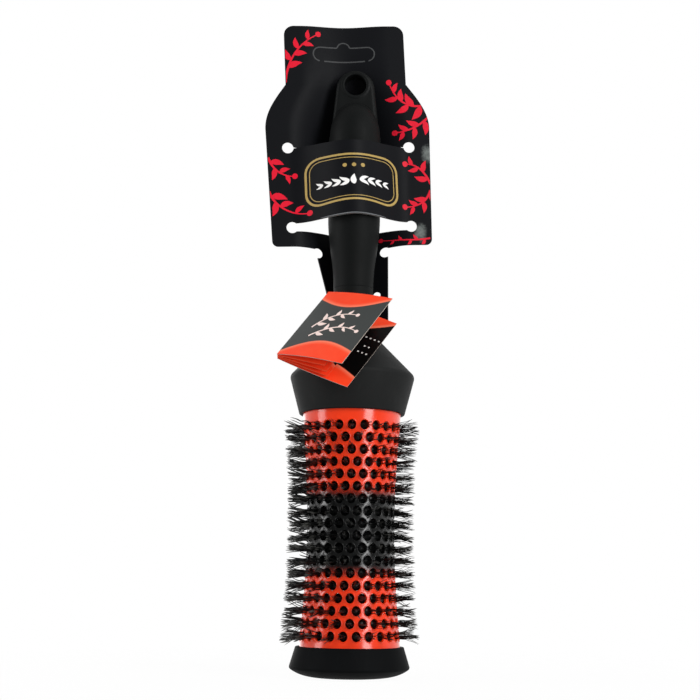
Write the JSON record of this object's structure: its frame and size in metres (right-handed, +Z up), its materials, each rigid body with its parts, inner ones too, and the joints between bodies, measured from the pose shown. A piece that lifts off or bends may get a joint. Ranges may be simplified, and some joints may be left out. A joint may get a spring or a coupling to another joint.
{
  "type": "round curling hair brush",
  "caption": "Vented round hair brush for curling: perforated hourglass barrel with crimped bristles, bell collar and soft-touch handle, on a die-cut hang card with a folded booklet.",
  "frame": {"origin": "centre of the hang hole in the handle tab", "axes": "+Z up the handle towards its tip, -Y along the hang hole to the front, +Y towards the back of the card"},
  "size_m": [0.0764, 0.0763, 0.2958],
  "materials": {
    "hard_black": "satin moulded plastic",
    "soft_touch": "soft-touch matte",
    "bell_black": "fine matte moulding",
    "barrel_coat": "glossy ceramic-type coating with a sprayed black band",
    "plug_black": "matte",
    "stem_wire": "drawn wire",
    "bristle_nylon": "crimped nylon",
    "cap_black": "satin to gloss",
    "card_board": "coated board, satin print",
    "tie_elastic": "braided elastic",
    "cover_paper": "coated, printed",
    "leaf_paper": "coated, printed"
  },
  "bodies": {
    "brush": {"handle_core": "hard_black", "grip": "soft_touch", "bell_collar": "bell_black", "barrel": "barrel_coat", "core_plug": "plug_black", "wire_stem": "stem_wire", "bristle_row_01": "bristle_nylon", "bristle_row_02": "bristle_nylon", "bristle_row_03": "bristle_nylon", "bristle_row_04": "bristle_nylon", "bristle_row_05": "bristle_nylon", "bristle_row_06": "bristle_nylon", "bristle_row_07": "bristle_nylon", "bristle_row_08": "bristle_nylon", "bristle_row_09": "bristle_nylon", "bristle_row_10": "bristle_nylon", "bristle_row_11": "bristle_nylon", "bristle_row_12": "bristle_nylon", "bristle_row_13": "bristle_nylon", "bristle_row_14": "bristle_nylon", "bristle_row_15": "bristle_nylon", "bristle_row_16": "bristle_nylon", "bristle_row_17": "bristle_nylon", "bristle_row_18": "bristle_nylon", "end_plug": "plug_black", "end_cap": "cap_black"},
    "card": {"hang_card": "card_board"},
    "tie": {"neck_tie": "tie_elastic"},
    "booklet": {"back_cover": "cover_paper"},
    "leaf_1": {"leaf_1": "leaf_paper"},
    "leaf_2": {"leaf_2": "leaf_paper"},
    "leaf_3": {"leaf_3": "leaf_paper"},
    "cover": {"front_cover": "cover_paper"}
  },
  "joints": [
    {"name": "card_slide", "type": "slide", "parent": "brush", "child": "card", "axis": [0, 0, 1], "range_m": [0, 0.078]},
    {"name": "tie_turn", "type": "hinge", "parent": "brush", "child": "tie", "pos_m": [0, 0, -0.1079], "axis": [0, 0, 1], "range_deg": [-40, 40]},
    {"name": "booklet_swing", "type": "hinge", "parent": "tie", "child": "booklet", "pos_m": [-0.0071, -0.00988, -0.1057], "axis": [0, -0.863, 0.5052], "range_deg": [-30, 0]},
    {"name": "cover_open", "type": "hinge", "parent": "booklet", "child": "cover", "pos_m": [-0.01097, -0.00942, -0.09937], "axis": [-0.5, -0.4375, -0.7474], "range_deg": [0, 60]},
    {"name": "leaf_1_open", "type": "hinge", "parent": "booklet", "child": "leaf_1", "pos_m": [-0.01097, -0.00761, -0.10043], "axis": [-0.5, -0.4375, -0.7474], "range_deg": [0, 15]},
    {"name": "leaf_2_open", "type": "hinge", "parent": "booklet", "child": "leaf_2", "pos_m": [-0.01097, -0.00821, -0.10007], "axis": [-0.5, -0.4375, -0.7474], "range_deg": [0, 30]},
    {"name": "leaf_3_open", "type": "hinge", "parent": "booklet", "child": "leaf_3", "pos_m": [-0.01097, -0.00881, -0.09972], "axis": [-0.5, -0.4375, -0.7474], "range_deg": [0, 45]}
  ],
  "couplings": [
    {"joint": "leaf_1_open", "follows": "cover_open", "ratio": 0.25},
    {"joint": "leaf_2_open", "follows": "cover_open", "ratio": 0.5},
    {"joint": "leaf_3_open", "follows": "cover_open", "ratio": 0.75}
  ]
}
